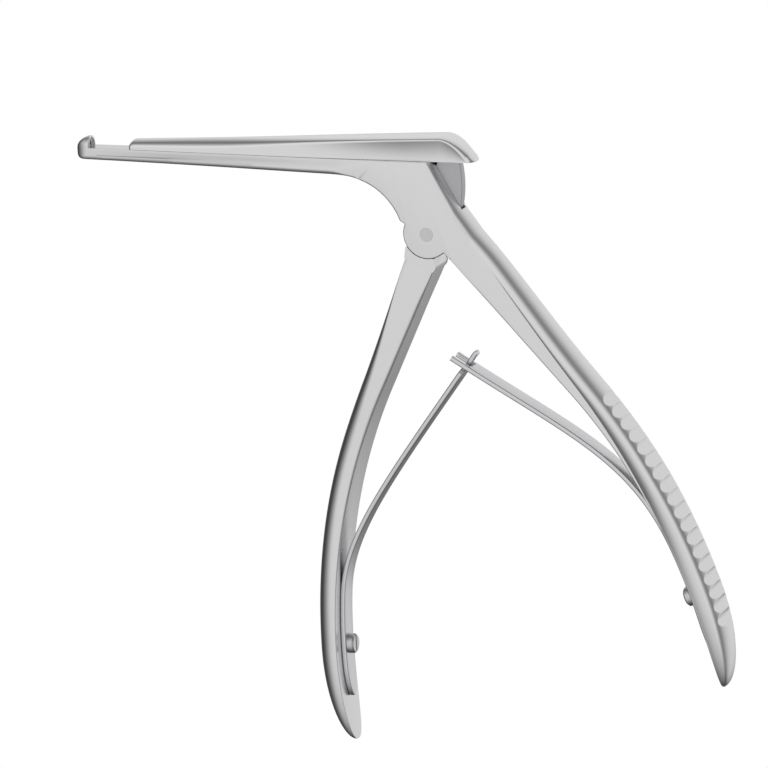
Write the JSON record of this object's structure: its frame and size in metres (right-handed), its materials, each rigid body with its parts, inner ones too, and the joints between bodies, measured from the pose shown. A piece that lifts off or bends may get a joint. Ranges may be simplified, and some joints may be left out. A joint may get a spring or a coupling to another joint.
{
  "type": "bone rongeur",
  "caption": "Surgical bone punch: slide on a fixed footplate shaft, squeezed by two bowed handles held open by a pair of crossed leaf springs.",
  "frame": {"origin": "on the pivot axis, at the face of the far cheek", "axes": "+X along the slide from the footplate to the heel, +Y from the handles up to the shafts, +Z through the thickness from the far cheek to the near one"},
  "size_m": [0.149, 0.138, 0.0112],
  "materials": {
    "body_steel": "satin",
    "handle_steel": "satin",
    "slide_steel": "satin",
    "screw_steel": "satin",
    "spring_steel": "polished"
  },
  "bodies": {
    "frame_body": {"frame": "body_steel", "pivot_screw": "screw_steel", "rear_spring_screw": "screw_steel"},
    "front_handle_body": {"front_handle": "handle_steel", "front_spring_screw": "screw_steel"},
    "slide_body": {"slide": "slide_steel", "drive_pin": "screw_steel"},
    "front_spring_body": {"front_spring": "spring_steel"},
    "rear_spring_body": {"rear_spring": "spring_steel"}
  },
  "joints": [
    {"name": "squeeze", "type": "hinge", "parent": "frame_body", "child": "front_handle_body", "pos_m": [0, 0, 0.0041], "axis": [0, 0, 1], "range_deg": [0, 30.81], "stiffness_Nm_per_rad": 1.2, "springref_deg": -14.32},
    {"name": "slide_travel", "type": "slide", "parent": "frame_body", "child": "slide_body", "axis": [-1, 0, 0], "range_m": [0, 0.0097]},
    {"name": "front_spring_flex", "type": "hinge", "parent": "front_handle_body", "child": "front_spring_body", "pos_m": [-0.02303, -0.08258, 0.0041], "axis": [0, 0, 1], "range_deg": [0, 6.9], "deforming": ["front_spring"]},
    {"name": "rear_spring_flex", "type": "hinge", "parent": "frame_body", "child": "rear_spring_body", "pos_m": [0.05365, -0.06773, 0.0041], "axis": [0, 0, 1], "range_deg": [-10.6, 0], "deforming": ["rear_spring"]}
  ],
  "couplings": [
    {"joint": "slide_travel", "follows": "squeeze", "m_per_rad": 0.018033},
    {"joint": "front_spring_flex", "follows": "squeeze", "ratio": 0.2207},
    {"joint": "rear_spring_flex", "follows": "squeeze", "ratio": -0.3408}
  ]
}
